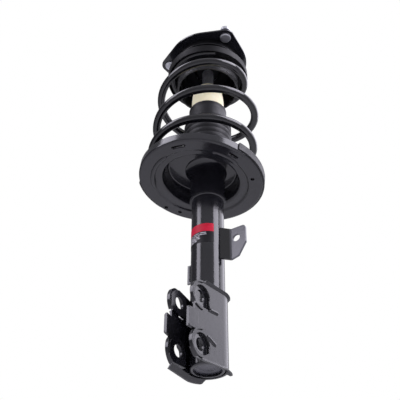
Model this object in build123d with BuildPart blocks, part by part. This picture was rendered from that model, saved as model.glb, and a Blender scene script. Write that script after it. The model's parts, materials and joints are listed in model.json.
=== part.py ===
from build123d import *
from math import acos, atan2, cos, hypot, pi, radians, sin, sqrt, tan
import os

# A coil-over front strut, standing on its axis. +Z runs up the rod, and z = 0 is the
# upper face of the top mount's plate, so everything else hangs below the origin.
# The ears that hold the steering knuckle point to -Y, and their bolts lie along X.

os.makedirs("parts", exist_ok=True)

# Clearances
run_gap = 0.05              # radial, between a shaft and its bearing
soft_gap = 0.3              # between pieces that pass or rest without being a fit
spare = 1.0                 # how far a cut runs on past what it cuts

# Whole strut, fully extended
extended_length = 624.0     # mount face down to the closed end of the tube
tube_bottom = -extended_length

# Strut tube and what it holds
tube_od = 51.0
tube_wall = 2.5
tube_length = 385.0
tube_lip_width = 3.0        # the closed end is rolled inwards this far
tube_end_round = 3.2
tube_r = tube_od / 2
tube_bore_r = tube_r - tube_wall
tube_top = tube_bottom + tube_length
base_cap_recess = 4.0
base_cap_thick = 3.0
base_cap_dish = 1.2
base_cap_flat_r = 12.5
base_cap_edge_r = 18.5
cylinder_bore = 30.0
cylinder_wall = 1.5
cylinder_foot = 12.0        # from the tube's end to the foot of the inner cylinder
valve_height = 14.0
valve_port_r = 2.1
valve_port_circle_r = 9.0
port_count = 6
guide_height = 18.0
guide_spigot = 5.0
bush_wall = 1.5
seal_thick = 5.0
seal_below_top = 1.5        # the seal lies this far under the tube's open end
cap_wall = 2.0
cap_skirt = 14.0
cap_hole_gap = 1.0
cap_round = 1.4

# Piston rod
rod_d = 20.0
rod_r = rod_d / 2
rod_thread_d = 14.0
rod_thread_r = rod_thread_d / 2
rod_tail_d = 10.0
rod_tail_r = rod_tail_d / 2
rod_chamfer = 1.5
tail_beyond_nut = 2.0
piston_height = 20.0
piston_gap = 0.4            # radial, taken up by the band
band_height = 8.0
band_depth = 1.2
piston_port_r = 1.6
rebound_stop_height = 7.0
rebound_stop_wall = 3.6
rebound_run = 30.0          # rod between the rebound stop and the piston
piston_nut_height = 8.0
piston_nut_flats = 16.0

# Top mount
plate_thick = 3.0
plate_r = 73.0
plate_lobe_r = 16.0
stud_pcd = 141.0
stud_count = 3
stud_first_angle = 90.0
stud_d = 10.0
stud_shoulder_d = 11.0      # the serrated shank that is pressed into the plate
stud_length = 25.0          # stands above the plate
stud_head_d = 20.0
stud_head_thick = 3.6
stud_head_bevel = 1.1
stud_point = 1.2
plate_eye_r = 36.0
plate_rib_r = 48.0          # a pressed ring that stiffens the plate
plate_rib_width = 5.0
plate_rib_height = 1.6
shell_r = 60.0
shell_wall = 2.5
shell_depth = 13.0
shell_round = 3.0
shell_eye_r = 27.0
core_r = 20.0
core_top = 8.0
core_bottom = -28.0
core_flange_r = 31.0
core_flange_thick = 3.0
core_flange_z = -8.0
rubber_crown = 5.0
washer_r = 17.0
washer_thick = 3.0
nut_height = 12.0
nut_flats = 21.0
nut_bevel_angle = 30.0
thread_beyond_nut = 4.0

# Strut bearing between the mount and the upper spring seat
race_inner_r = 27.5
race_outer_r = 41.0
race_thick = 3.5
race_gap = 4.0              # between the two races
ball_d = 6.0
ball_count = 20
ball_gap = 0.06

# Coil spring
wire_d = 13.5
wire_r = wire_d / 2
coil_r = 84.5               # to the wire's centre, in the open turns
coil_top_r = 63.0           # where the last turn draws in round the upper seat's collar
coil_low_share = 0.844      # the lower turns are closer: their pitch by that of the upper ones
pitch_change_start = 1.25
pitch_change_end = 2.75
quarter_turns = 17
lower_end_angle = 213.0
flat_turns_low = 0.47       # how much of a turn lies flat on each seat
flat_turns_high = 0.546
ease_turns = 0.2
lean_start = 0.2            # the turns move over from the seat's middle to the strut's axis
lean_end = 3.2
draw_in_start = 2.9
draw_in_end = 3.7
spring_samples = 600        # points that the least gap is measured on

# Upper spring seat and its rubber
upper_rim_room = 1.95       # from the drawn-in turn out to the seat's skirt
upper_seat_wall = 1.8
upper_seat_r = coil_top_r + wire_r + upper_rim_room + upper_seat_wall
upper_seat_round = 2.1
upper_seat_skirt = 14.0
upper_seat_drop = 9.0       # from under the bearing down to the spring's land
upper_slope_run = 6.0       # from the bearing's edge out to the land
upper_land_inner_r = race_outer_r + upper_slope_run
upper_eye_r = 24.0
upper_pad_thick = 3.5
collar_room = 0.35          # from the drawn-in turn in to the rubber collar
upper_collar_r = coil_top_r - wire_r - collar_room
upper_collar_wall = 3.4
upper_collar_drop = 36.0
collar_draft = 1.0
collar_rib_count = 16
collar_rib_width = 3.0
collar_rib_depth = 3.0
collar_rib_root = 1.0       # the ribs are this deep in the collar's wall

# Lower spring seat: a pressed dish, set off the strut's axis and tilted
seat_x = -6.0
seat_y = -12.5
seat_below_top = 63.0       # tube's open end down to the underside of the dish's rim
seat_height = tube_length - seat_below_top
seat_tilt = 6.0
seat_uphill = 222.0
seat_wall = 3.0
seat_rim_room = 7.25        # from the lower turn out to the skirt
seat_r = coil_r + wire_r + seat_rim_room + seat_wall
seat_skirt = 15.0
pad_inside = 4.0            # the pad reaches this far inside the wire's centre
lower_pad_inner_r = coil_r - pad_inside
seat_step = 3.0
seat_step_gap = 1.5
seat_step_r = lower_pad_inner_r - seat_step_gap
seat_land_width = 16.0
seat_well_r = seat_step_r - seat_land_width
seat_well_draft = 6.0
seat_well_top_r = seat_well_r - seat_well_draft
seat_well_depth = 30.0
seat_round = 4.0
seat_bend = 2.5             # inner radius of the bends into the well and out on its roof
seat_step_round = 3.0
hub_wall = 2.6
hub_drop = 34.0             # how far the hub reaches below the rim's underside
hub_flare = 8.9
hub_flare_start = 16.0      # above the rim's underside
hub_lip = 0.9
hub_lip_height = 3.6
seat_slot_width = 6.0
pad_notch_room = 4.0        # degrees; the rubber is notched this far past a slot's ends
seat_slots = ((5.0, 275.0, 12.0), (4.0, 334.0, 8.0))        # outside the wire's centre, angle, sweep
drain_r = 3.2
drain_holes = ((3.5, 147.0), (7.5, 163.0), (1.5, 19.0))     # outside the wire's centre, angle
lower_pad_thick = 4.0
pad_lip_thick = 1.5
pad_lip_draft = 0.5
strip_thick = 2.5
strip_hook = 2.0
strip_spans = ((338.0, 466.0), (166.0, 204.0))

# Knuckle bracket: a plate folded round the tube into two ears that lean together
bracket_wall = 3.4
bracket_rise = 111.0        # the tube's closed end up to the bracket's upper edge
bracket_drop = 2.0          # on the tube's axis, the lower edge is this far under the closed end
bracket_slope = 4.5         # the lower edge runs down towards the ears, in degrees
ear_end_gap = 31.5          # between the ears' ends, and between the bosses that clamp the knuckle
ear_reach = 75.5            # strut axis to the ears' ends, which are the side tabs' edges
ear_bolt_reach = 48.0       # strut axis to the bolts' axis
ear_lobe_r = 22.0
lower_bolt_up = 14.5        # tube's closed end up to the lower bolt
bolt_spacing = 72.5
bolt_hole_d = 18.0
pocket_r = 15.5             # pressed inwards round the bolt holes
boss_wall = 3.0
lower_pocket_foot = 10.0    # a pocket runs straight down this far below its own round part's middle
upper_pocket_foot = 18.0
rim_raise = 1.6
rim_width = 2.6
ear_waist_reach = 63.0
tab_height = 29.0
tab_up = 30.5
tab_inner_reach = 57.0
step_raise = 1.2            # the tabs are pressed outwards by this much
step_round = 3.0
lip_width = 4.6
lip_fall = 5.0              # the lower lip flares out and down by this much
lip_thick = 2.6
lip_root = 1.0              # a lip starts this far inside the plate, so that it grows out of its side
lip_sink = 0.5
lower_lip_reach = 57.0
upper_lip_reach = 44.0
upper_lip_width = 3.8
upper_lip_rise = 4.0
lip_end = 21.0              # behind the strut's axis the lips stop here
rib_d = 7.0
rib_sink = 1.2
ear_ribs = ((33.0, 70.0, 18.0, 71.0), (36.0, 28.0, 23.0, 22.0))     # reach and height, from and to

# Stabiliser-link bracket, hose tab and label
link_wall = 3.5
link_bottom_up = 170.0
link_height = 55.0
link_plate_y = 10.0
link_plate_x = 63.0
link_hole_d = 12.5
link_hole_x = 47.0
link_hole_up = 206.0
link_bend_x = 37.0
link_bend_r = 5.0
link_cut_up = 24.0          # the lower corner is cut off from here
link_cut_in = 13.0
link_corner_r = 5.0
link_foot_angle = -9.0      # where the bracket stands on the tube, about Z
hose_wall = 2.5
hose_bottom_up = 140.0
hose_height = 32.0
hose_reach = 4.0
hose_y = -9.0
label_bottom_up = 195.0
label_height = 34.0
label_thick = 0.25
label_lift = 0.05           # the glue under the label
label_from = 196.0
label_to = 324.0

# Bump stop and dust boot
stop_r = 28.5
stop_below_core = 53.0      # under the mount core while the strut is fully extended
stop_height = 65.0
stop_shoulder = 31.0        # from its top down to where it starts to narrow
stop_bevel = 13.0
stop_bevel_in = 1.6
stop_crown = 3.0
stop_crown_in = 3.6
stop_top_r = 21.5
boot_below_stop = 54.0      # top of the bump stop down to the boot's upper edge
boot_foot_gap = 5.0         # from the lower seat's roof up to the boot's foot
boot_neck_height = 36.0
boot_neck_wall = 3.6
boot_neck_r = stop_r + boot_neck_wall
boot_shoulder = 5.0
boot_shoulder_out = 1.0
boot_shoulder_ease = 2.0
boot_bead = 0.8
boot_bead_height = 3.0
boot_bead_slope = 1.0
boot_bore_r = 35.0
boot_wall = 4.0
boot_root_r = boot_bore_r + boot_wall
boot_rib_depth = 1.8
boot_crest_r = boot_root_r + boot_rib_depth
boot_ribs = 8
crest_from = 0.25           # where a fold's crest begins and ends, and its root, in its pitch
crest_to = 0.6
root_from = 0.85


def height_up(up):
    """Turn a height above the tube's closed end into z."""
    return tube_bottom + up


def save(part, name):
    part.label = name
    export_step(part, f"parts/{name}.step")


# ---------------------------------------------------------------- strut tube
with BuildPart() as strut_tube:
    with BuildSketch(Plane.XZ) as wall:
        with BuildLine():
            Polyline(
                (tube_bore_r - tube_lip_width, tube_bottom),
                (tube_r, tube_bottom),
                (tube_r, tube_top),
                (tube_bore_r, tube_top),
                (tube_bore_r, tube_bottom + tube_wall),
                (tube_bore_r - tube_lip_width, tube_bottom + tube_wall),
                close=True,
            )
        make_face()
        outer_corner = wall.vertices().group_by(Axis.X)[-1].sort_by(Axis.Y)[0]
        fillet(outer_corner, min(tube_end_round, tube_wall * 1.2))
    revolve(axis=Axis.Z)
save(strut_tube.part, "strut_tube")

# The closed end: a dished disc set up inside the rolled lip
base_cap_z = tube_bottom + base_cap_recess
with BuildPart() as base_cap:
    with BuildSketch(Plane.XZ):
        with BuildLine():
            Polyline(
                (0, base_cap_z + base_cap_dish),
                (base_cap_flat_r, base_cap_z + base_cap_dish),
                (base_cap_edge_r, base_cap_z),
                (tube_bore_r, base_cap_z),
                (tube_bore_r, base_cap_z + base_cap_thick),
                (0, base_cap_z + base_cap_thick + base_cap_dish),
                close=True,
            )
        make_face()
    revolve(axis=Axis.Z)
save(base_cap.part, "base_cap")

cylinder_bore_r = cylinder_bore / 2
cylinder_r = cylinder_bore_r + cylinder_wall
seal_top = tube_top - seal_below_top
guide_top = seal_top - seal_thick
guide_bottom = guide_top - guide_height
cylinder_bottom = tube_bottom + cylinder_foot
cylinder_top = guide_bottom + guide_spigot

# The inner cylinder that the piston runs in
with BuildPart() as inner_cylinder:
    with BuildSketch(Plane.XY.offset(cylinder_bottom)):
        Circle(cylinder_r)
        Circle(cylinder_bore_r, mode=Mode.SUBTRACT)
    extrude(amount=cylinder_top - cylinder_bottom)
save(inner_cylinder.part, "inner_cylinder")

# The base valve plugs the cylinder's foot and stands on the cap
valve_foot_z = base_cap_z + base_cap_thick + base_cap_dish
with BuildPart() as base_valve:
    with BuildSketch(Plane.XZ):
        with BuildLine():
            Polyline(
                (0, valve_foot_z),
                (cylinder_r, valve_foot_z),
                (cylinder_r, cylinder_bottom),
                (cylinder_bore_r, cylinder_bottom),
                (cylinder_bore_r, cylinder_bottom + valve_height),
                (0, cylinder_bottom + valve_height),
                close=True,
            )
        make_face()
    revolve(axis=Axis.Z)
    with BuildSketch(Plane.XY.offset(cylinder_bottom)):
        with PolarLocations(valve_port_circle_r, port_count):
            Circle(valve_port_r)
    extrude(amount=valve_height, mode=Mode.SUBTRACT)
save(base_valve.part, "base_valve")

# The rod guide closes the cylinder's head, with a bush for the rod and a seal above
bush_r = rod_r + run_gap + bush_wall
with BuildPart() as rod_guide:
    with BuildSketch(Plane.XZ):
        with BuildLine():
            Polyline(
                (bush_r, guide_bottom),
                (cylinder_bore_r, guide_bottom),
                (cylinder_bore_r, cylinder_top),
                (tube_bore_r, cylinder_top),
                (tube_bore_r, guide_top),
                (bush_r, guide_top),
                close=True,
            )
        make_face()
    revolve(axis=Axis.Z)
save(rod_guide.part, "rod_guide")

with BuildPart() as guide_bush:
    with BuildSketch(Plane.XY.offset(guide_bottom)):
        Circle(bush_r)
        Circle(rod_r + run_gap, mode=Mode.SUBTRACT)
    extrude(amount=guide_height)
save(guide_bush.part, "guide_bush")

with BuildPart() as oil_seal:
    with BuildSketch(Plane.XY.offset(guide_top)):
        Circle(tube_bore_r)
        Circle(rod_r + run_gap, mode=Mode.SUBTRACT)
    extrude(amount=seal_thick)
save(oil_seal.part, "oil_seal")

# The cap pressed over the tube's end, which the bump stop strikes
cap_r = tube_r + cap_wall
with BuildPart() as striker_cap:
    with BuildSketch(Plane.XZ):
        with BuildLine():
            Polyline(
                (rod_r + cap_hole_gap, tube_top),
                (tube_r, tube_top),
                (tube_r, tube_top - cap_skirt),
                (cap_r, tube_top - cap_skirt),
                (cap_r, tube_top + cap_wall),
                (rod_r + cap_hole_gap, tube_top + cap_wall),
                close=True,
            )
        make_face()
    revolve(axis=Axis.Z)
    cap_rim = striker_cap.edges().filter_by(GeomType.CIRCLE).group_by(Axis.Z)[-1].sort_by(SortBy.RADIUS)[-1]
    fillet(cap_rim, cap_round)
save(striker_cap.part, "striker_cap")

# ---------------------------------------------------------------- piston rod
rebound_stop_top = guide_bottom - soft_gap
rebound_stop_bottom = rebound_stop_top - rebound_stop_height
piston_top = rebound_stop_bottom - rebound_run
piston_bottom = piston_top - piston_height
tail_bottom = piston_bottom - piston_nut_height - tail_beyond_nut
rod_shoulder = core_bottom
washer_top = core_top + washer_thick
nut_top = washer_top + nut_height
rod_top = nut_top + thread_beyond_nut

with BuildPart() as piston_rod:
    with BuildSketch(Plane.XZ):
        with BuildLine():
            Polyline(
                (0, tail_bottom),
                (rod_tail_r, tail_bottom),
                (rod_tail_r, piston_top),
                (rod_r, piston_top),
                (rod_r, rod_shoulder - rod_chamfer),
                (rod_r - rod_chamfer, rod_shoulder),
                (rod_thread_r, rod_shoulder),
                (rod_thread_r, rod_top - rod_chamfer),
                (rod_thread_r - rod_chamfer, rod_top),
                (0, rod_top),
                close=True,
            )
        make_face()
    revolve(axis=Axis.Z)
save(piston_rod.part, "piston_rod")

with BuildPart() as rebound_stop:
    with BuildSketch(Plane.XY.offset(rebound_stop_bottom)):
        Circle(rod_r + rebound_stop_wall)
        Circle(rod_r, mode=Mode.SUBTRACT)
    extrude(amount=rebound_stop_height)
save(rebound_stop.part, "rebound_stop")

piston_r = cylinder_bore_r - piston_gap
band_bottom = (piston_top + piston_bottom - band_height) / 2
with BuildPart() as piston:
    with BuildSketch(Plane.XY.offset(piston_bottom)):
        Circle(piston_r)
        Circle(rod_tail_r, mode=Mode.SUBTRACT)
        with PolarLocations((piston_r + rod_tail_r) / 2, port_count):
            Circle(piston_port_r, mode=Mode.SUBTRACT)
    extrude(amount=piston_height)
    with BuildSketch(Plane.XY.offset(band_bottom)):
        Circle(piston_r + spare)
        Circle(piston_r - band_depth, mode=Mode.SUBTRACT)
    extrude(amount=band_height, mode=Mode.SUBTRACT)
save(piston.part, "piston")

with BuildPart() as piston_band:
    with BuildSketch(Plane.XY.offset(band_bottom)):
        Circle(cylinder_bore_r - run_gap)
        Circle(piston_r - band_depth, mode=Mode.SUBTRACT)
    extrude(amount=band_height)
save(piston_band.part, "piston_band")

with BuildPart() as piston_nut:
    with BuildSketch(Plane.XY.offset(piston_bottom - piston_nut_height)):
        RegularPolygon(piston_nut_flats / 2, 6, major_radius=False)
        Circle(rod_tail_r, mode=Mode.SUBTRACT)
    extrude(amount=piston_nut_height)
save(piston_nut.part, "piston_nut")

# ---------------------------------------------------------------- top mount
stud_circle_r = stud_pcd / 2
stud_r = stud_d / 2
stud_shoulder_r = stud_shoulder_d / 2


def stud_places():
    return PolarLocations(stud_circle_r, stud_count, start_angle=stud_first_angle)


# Three lobed corners round a disc, with a pressed ring and an eye for the rubber
with BuildPart() as mount_plate:
    with BuildSketch(Plane.XY.offset(-plate_thick)):
        with stud_places():
            Circle(plate_lobe_r)
        Circle(plate_r)
        make_hull()
        Circle(plate_eye_r, mode=Mode.SUBTRACT)
    extrude(amount=plate_thick)
    with BuildSketch(Plane.XY):
        Circle(plate_rib_r + plate_rib_width / 2)
        Circle(plate_rib_r - plate_rib_width / 2, mode=Mode.SUBTRACT)
    extrude(amount=plate_rib_height)
    with BuildSketch(Plane.XY.offset(-plate_thick)):
        with stud_places():
            Circle(stud_shoulder_r)
    extrude(amount=plate_thick, mode=Mode.SUBTRACT)
save(mount_plate.part, "mount_plate")

# Pressed-in studs, heads below the plate
with BuildPart() as mount_studs:
    with BuildSketch(Plane.XY.offset(-plate_thick - stud_head_thick)):
        with stud_places():
            Circle(stud_head_d / 2)
    extrude(amount=stud_head_thick)
    with BuildSketch(Plane.XY.offset(-plate_thick)):
        with stud_places():
            Circle(stud_shoulder_r)
    extrude(amount=plate_thick)
    with BuildSketch(Plane.XY):
        with stud_places():
            Circle(stud_r)
    extrude(amount=stud_length)
    rims = mount_studs.edges().filter_by(GeomType.CIRCLE)
    chamfer(rims.group_by(Axis.Z)[-1], stud_point)
    chamfer(rims.group_by(Axis.Z)[0], stud_head_bevel)
save(mount_studs.part, "mount_studs")

# The cup under the plate that holds the rubber and carries the bearing
shell_top = -plate_thick
shell_bottom = shell_top - shell_depth
shell_floor = shell_bottom + shell_wall
with BuildPart() as mount_shell:
    with BuildSketch(Plane.XZ) as cup:
        with BuildLine():
            Polyline(
                (shell_eye_r, shell_bottom),
                (shell_r, shell_bottom),
                (shell_r, shell_top),
                (shell_r - shell_wall, shell_top),
                (shell_r - shell_wall, shell_floor),
                (shell_eye_r, shell_floor),
                close=True,
            )
        make_face()
        cup_corner = cup.vertices().group_by(Axis.X)[-1].sort_by(Axis.Y)[0]
        fillet(cup_corner, min(shell_round, shell_wall * 1.2))
    revolve(axis=Axis.Z)
save(mount_shell.part, "mount_shell")

with BuildPart() as mount_core:
    with BuildSketch(Plane.XZ):
        with BuildLine():
            Polyline(
                (rod_thread_r, core_bottom),
                (core_r, core_bottom),
                (core_r, core_flange_z),
                (core_flange_r, core_flange_z),
                (core_flange_r, core_flange_z + core_flange_thick),
                (core_r, core_flange_z + core_flange_thick),
                (core_r, core_top),
                (rod_thread_r, core_top),
                close=True,
            )
        make_face()
    revolve(axis=Axis.Z)
save(mount_core.part, "mount_core")

# Rubber bonded between the core and the cup, crowned up through the plate's eye
with BuildPart() as mount_rubber:
    with BuildSketch(Plane.XZ):
        with BuildLine():
            Polyline(
                (core_r, shell_floor),
                (shell_r - shell_wall, shell_floor),
                (shell_r - shell_wall, shell_top),
                (plate_eye_r, shell_top),
                (plate_eye_r, 0),
                (core_r + rubber_crown, rubber_crown),
                (core_r, rubber_crown),
                close=True,
            )
        make_face()
    revolve(axis=Axis.Z)
    add(mount_core.part, mode=Mode.SUBTRACT)
save(mount_rubber.part, "mount_rubber")

with BuildPart() as rod_washer:
    with BuildSketch(Plane.XY.offset(core_top)):
        Circle(washer_r)
        Circle(rod_thread_r, mode=Mode.SUBTRACT)
    extrude(amount=washer_thick)
save(rod_washer.part, "rod_washer")

with BuildPart() as rod_nut:
    with BuildSketch(Plane.XY.offset(washer_top)):
        RegularPolygon(nut_flats / 2, 6, major_radius=False)
        Circle(rod_thread_r, mode=Mode.SUBTRACT)
    extrude(amount=nut_height)
    with BuildSketch(Plane.XZ):
        with BuildLine():
            Polyline(
                (nut_flats / 2, nut_top),
                (nut_flats, nut_top - nut_flats / 2 * tan(radians(nut_bevel_angle))),
                (nut_flats, nut_top),
                close=True,
            )
        make_face()
    revolve(axis=Axis.Z, mode=Mode.SUBTRACT)
save(rod_nut.part, "rod_nut")

# ---------------------------------------------------------------- bearing
race_top = shell_bottom
upper_race_bottom = race_top - race_thick
lower_race_top = upper_race_bottom - race_gap
lower_race_bottom = lower_race_top - race_thick
ball_circle_r = (race_inner_r + race_outer_r) / 2
ball_z = (upper_race_bottom + lower_race_top) / 2
groove_r = ball_d / 2 + ball_gap


def race(bottom):
    """One flat race with a round groove that the balls run in."""
    with BuildPart() as ring:
        with BuildSketch(Plane.XY.offset(bottom)):
            Circle(race_outer_r)
            Circle(race_inner_r, mode=Mode.SUBTRACT)
        extrude(amount=race_thick)
        with BuildSketch(Plane.XZ):
            with Locations((ball_circle_r, ball_z)):
                Circle(groove_r)
        revolve(axis=Axis.Z, mode=Mode.SUBTRACT)
    return ring.part


save(race(upper_race_bottom), "bearing_upper_race")
save(race(lower_race_bottom), "bearing_lower_race")

with BuildPart() as bearing_balls:
    with Locations((0, 0, ball_z)):
        with PolarLocations(ball_circle_r, ball_count):
            Sphere(ball_d / 2)
save(bearing_balls.part, "bearing_balls")

# ---------------------------------------------------------------- upper spring seat
upper_seat_top = lower_race_bottom
land_top = upper_seat_top - upper_seat_drop
land_bottom = land_top - upper_seat_wall
skirt_bottom = land_bottom - upper_seat_skirt
with BuildPart() as upper_spring_seat:
    with BuildSketch(Plane.XZ) as dish:
        with BuildLine():
            Polyline(
                (upper_eye_r, upper_seat_top),
                (race_outer_r, upper_seat_top),
                (upper_land_inner_r, land_top),
                (upper_seat_r, land_top),
                (upper_seat_r, skirt_bottom),
                (upper_seat_r - upper_seat_wall, skirt_bottom),
                (upper_seat_r - upper_seat_wall, land_bottom),
                (upper_land_inner_r - upper_seat_wall, land_bottom),
                (race_outer_r - upper_seat_wall, upper_seat_top - upper_seat_wall),
                (upper_eye_r, upper_seat_top - upper_seat_wall),
                close=True,
            )
        make_face()
        fillet(dish.vertices().group_by(Axis.X)[-1].sort_by(Axis.Y)[-1], upper_seat_round)
    revolve(axis=Axis.Z)
save(upper_spring_seat.part, "upper_spring_seat")

# Rubber between the seat and the spring, with a ribbed collar down inside the turns
pad_bottom = land_bottom - upper_pad_thick
collar_bottom = pad_bottom - upper_collar_drop
collar_bore_r = upper_collar_r - upper_collar_wall
upper_pad_r = upper_seat_r - upper_seat_wall
with BuildPart() as upper_isolator:
    with BuildSketch(Plane.XZ):
        with BuildLine():
            Polyline(
                (collar_bore_r, land_bottom),
                (upper_pad_r, land_bottom),
                (upper_pad_r, pad_bottom),
                (upper_collar_r, pad_bottom),
                (upper_collar_r - collar_draft, collar_bottom),
                (collar_bore_r, collar_bottom),
                close=True,
            )
        make_face()
    revolve(axis=Axis.Z)
    with BuildSketch(Plane.XY.offset(collar_bottom + collar_rib_depth)):
        with PolarLocations(collar_bore_r + (collar_rib_root - collar_rib_depth) / 2, collar_rib_count):
            Rectangle(collar_rib_depth + collar_rib_root, collar_rib_width)
    extrude(amount=upper_collar_drop)
save(upper_isolator.part, "upper_isolator")

# ---------------------------------------------------------------- lower spring seat
uphill = radians(seat_uphill)
tilt = radians(seat_tilt)
seat_normal = Vector(-sin(tilt) * cos(uphill), -sin(tilt) * sin(uphill), cos(tilt))
seat_origin = Vector(seat_x, seat_y, height_up(seat_height))
seat_plane = Plane(origin=seat_origin, x_dir=(cos(tilt), 0, sin(tilt) * cos(uphill)), z_dir=seat_normal)
seat_section = Plane(origin=seat_origin, x_dir=seat_plane.x_dir, z_dir=-seat_plane.y_dir)
seat_axis = Axis(seat_origin, seat_normal)
well_top = seat_well_depth + seat_wall
skirt_inner_r = seat_r - seat_wall
hub_r = tube_r + hub_wall
hub_bottom = height_up(seat_height - hub_drop)
hub_top = height_up(seat_height + well_top + seat_well_top_r * tan(tilt))
hub_flare_r = hub_r + hub_flare
flare_foot = (hub_r, height_up(seat_height + hub_flare_start))
flare_head = (hub_flare_r, height_up(seat_height + seat_well_depth))

roof_under = (seat_well_top_r, seat_well_depth)
roof_over = (seat_well_top_r + seat_wall, well_top)
mouth_under = (seat_well_r, seat_step)
mouth_over = (seat_well_r + seat_wall, seat_step + seat_wall)
step_under = ((seat_step_r - seat_step, seat_step), (seat_step_r, 0))
step_over = ((seat_step_r, seat_wall), (seat_step_r - seat_step, seat_step + seat_wall))


def corners(sketch, *points):
    """The sketch's corners that lie at these points."""
    return [sketch.vertices().sort_by_distance((x, y, 0))[0] for x, y in points]


with BuildPart() as lower_spring_seat:
    with BuildSketch(seat_section) as pressing:
        with BuildLine():
            Polyline(
                (tube_r, seat_well_depth),
                roof_under,
                mouth_under,
                *step_under,
                (seat_r, 0),
                (seat_r, seat_skirt),
                (skirt_inner_r, seat_skirt),
                (skirt_inner_r, seat_wall),
                *step_over,
                mouth_over,
                roof_over,
                (tube_r, well_top),
                close=True,
            )
        make_face()
        fillet(corners(pressing, (seat_r, 0)), seat_round)
        fillet(corners(pressing, roof_under, mouth_over), seat_bend)
        fillet(corners(pressing, roof_over, mouth_under), seat_bend + seat_wall)
        fillet(corners(pressing, *step_under, *step_over), seat_step_round)
    revolve(axis=seat_axis)
    # the hub round the tube flares into the roof of the well
    with BuildSketch(Plane.XZ):
        with BuildLine():
            Polyline(
                (tube_r, hub_bottom),
                (hub_r + hub_lip, hub_bottom),
                (hub_r, hub_bottom + hub_lip_height),
                flare_foot,
            )
            TangentArc(flare_foot, flare_head, tangent=(0, 1))
            Polyline(
                flare_head,
                (hub_flare_r, hub_top),
                (tube_r, hub_top),
                (tube_r, hub_bottom),
            )
        make_face()
    revolve(axis=Axis.Z)
    # trim the hub flush with the roof, then bore it for the tube
    with BuildSketch(seat_plane.offset(well_top)):
        Circle(seat_well_top_r)
    extrude(amount=seat_well_depth, mode=Mode.SUBTRACT)
    with BuildSketch(Plane.XY.offset(hub_bottom - spare)):
        Circle(tube_r)
    extrude(amount=hub_top - hub_bottom + 2 * spare, mode=Mode.SUBTRACT)
    # drain slots along the rim, drain holes and the locating hole in the rim
    with BuildSketch(seat_plane.offset(-spare)):
        for outside, start, sweep_angle in seat_slots:
            with BuildLine(mode=Mode.PRIVATE) as route:
                CenterArc((0, 0), coil_r + outside, start, sweep_angle)
            SlotArc(route.edges()[0], seat_slot_width)
        for outside, angle in drain_holes:
            with PolarLocations(coil_r + outside, 1, start_angle=angle):
                Circle(drain_r)
    extrude(amount=seat_wall + seat_step + spare, mode=Mode.SUBTRACT)
save(lower_spring_seat.part, "lower_spring_seat")

# Rubber under the spring's lower turn, lipped over part of the rim
with BuildPart() as lower_isolator:
    with BuildSketch(seat_section):
        with BuildLine():
            Polyline(
                (lower_pad_inner_r, seat_wall),
                (skirt_inner_r, seat_wall),
                (skirt_inner_r, seat_skirt),
                (skirt_inner_r - pad_lip_thick, seat_skirt),
                (skirt_inner_r - pad_lip_thick - pad_lip_draft, seat_wall + lower_pad_thick),
                (lower_pad_inner_r, seat_wall + lower_pad_thick),
                close=True,
            )
        make_face()
    revolve(axis=seat_axis)
    # notched from its inner edge outwards over each drain slot
    with BuildSketch(seat_plane.offset(seat_wall - spare)):
        for outside, start, sweep_angle in seat_slots:
            notch_half = radians(sweep_angle / 2 + pad_notch_room)
            notch_out = coil_r + outside + seat_slot_width / 2
            notch_in = lower_pad_inner_r - spare
            with PolarLocations(0, 1, start_angle=start + sweep_angle / 2):
                Polygon(
                    (notch_in * cos(notch_half), notch_in * sin(notch_half)),
                    (notch_in * cos(notch_half), -notch_in * sin(notch_half)),
                    (notch_out, -notch_in * sin(notch_half)),
                    (notch_out, notch_in * sin(notch_half)),
                    align=None,
                )
    extrude(amount=lower_pad_thick + 2 * spare, mode=Mode.SUBTRACT)
save(lower_isolator.part, "lower_isolator")


def rim_strip(from_angle, to_angle):
    """A rubber strip hooked over the rim between two angles round the seat."""
    start = seat_plane.x_dir.rotate(Axis((0, 0, 0), seat_normal), from_angle)
    across = start.cross(seat_normal)
    section = Plane(origin=seat_origin, x_dir=start, z_dir=across)
    with BuildPart() as strip:
        with BuildSketch(section):
            with BuildLine():
                Polyline(
                    (skirt_inner_r - pad_lip_thick, seat_skirt),
                    (seat_r, seat_skirt),
                    (seat_r, seat_round),
                    (seat_r + strip_thick, seat_round),
                    (seat_r + strip_thick, seat_skirt + strip_hook),
                    (skirt_inner_r - pad_lip_thick, seat_skirt + strip_hook),
                    close=True,
                )
            make_face()
        revolve(axis=seat_axis, revolution_arc=to_angle - from_angle)
    return strip.part


with BuildPart() as rim_strips:
    for span in strip_spans:
        add(rim_strip(*span))
save(rim_strips.part, "rim_strips")

# ---------------------------------------------------------------- coil spring
turns = quarter_turns / 4
low_z = height_up(seat_height) + seat_wall + lower_pad_thick + soft_gap + wire_r
high_z = pad_bottom - soft_gap - wire_r
lower_ease = (flat_turns_low - ease_turns, flat_turns_low + ease_turns)


def eased(value, start, end):
    """Distance run after a start that eases in between two values."""
    if value <= start:
        return 0.0
    if value >= end:
        return value - (start + end) / 2
    return (value - start) ** 2 / (2 * (end - start))


def blend(value, start, end):
    share = min(max((value - start) / (end - start), 0.0), 1.0)
    return share * share * (3 - 2 * share)


# the upper turns' pitch follows from the room between the two seats
pitch_change = (pitch_change_start + pitch_change_end) / 2
upper_flat_turn = turns - flat_turns_high
upper_pitches = upper_flat_turn - pitch_change + coil_low_share * (pitch_change - flat_turns_low)
coil_pitch_high = (high_z - low_z) / upper_pitches
coil_pitch_low = coil_low_share * coil_pitch_high
pitch_gain = coil_pitch_high - coil_pitch_low


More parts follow.
